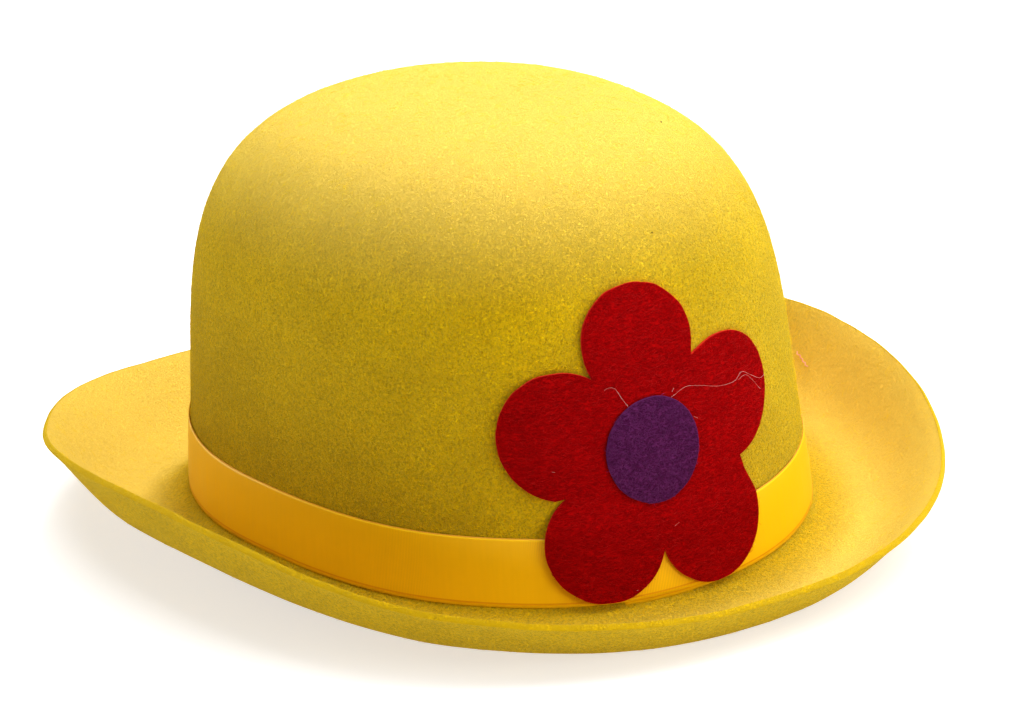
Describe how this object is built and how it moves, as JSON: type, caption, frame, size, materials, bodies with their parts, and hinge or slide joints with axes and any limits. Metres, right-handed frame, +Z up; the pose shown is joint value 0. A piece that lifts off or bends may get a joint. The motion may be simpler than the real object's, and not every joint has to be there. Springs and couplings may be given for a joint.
{
  "type": "clown hat",
  "caption": "Costume bowler of moulded yellow felt with a curled brim, a lapped satin ribbon and a five-petal felt flower on its front.",
  "frame": {"origin": "middle of the hat's footprint, on the surface that the brim rests on", "axes": "+Z up through the crown, -Y the way the wearer faces, +X the wearer's left"},
  "size_m": [0.2454, 0.2956, 0.1322],
  "materials": {
    "yellow_felt": "moulded felt, short matted fibres",
    "yellow_satin": "satin ribbon with woven edges",
    "red_felt": "soft craft felt",
    "purple_felt": "soft craft felt"
  },
  "bodies": {
    "root": {"felt_body": "yellow_felt", "ribbon_band": "yellow_satin", "flower_petals": "red_felt", "flower_centre": "purple_felt"}
  },
  "joints": []
}
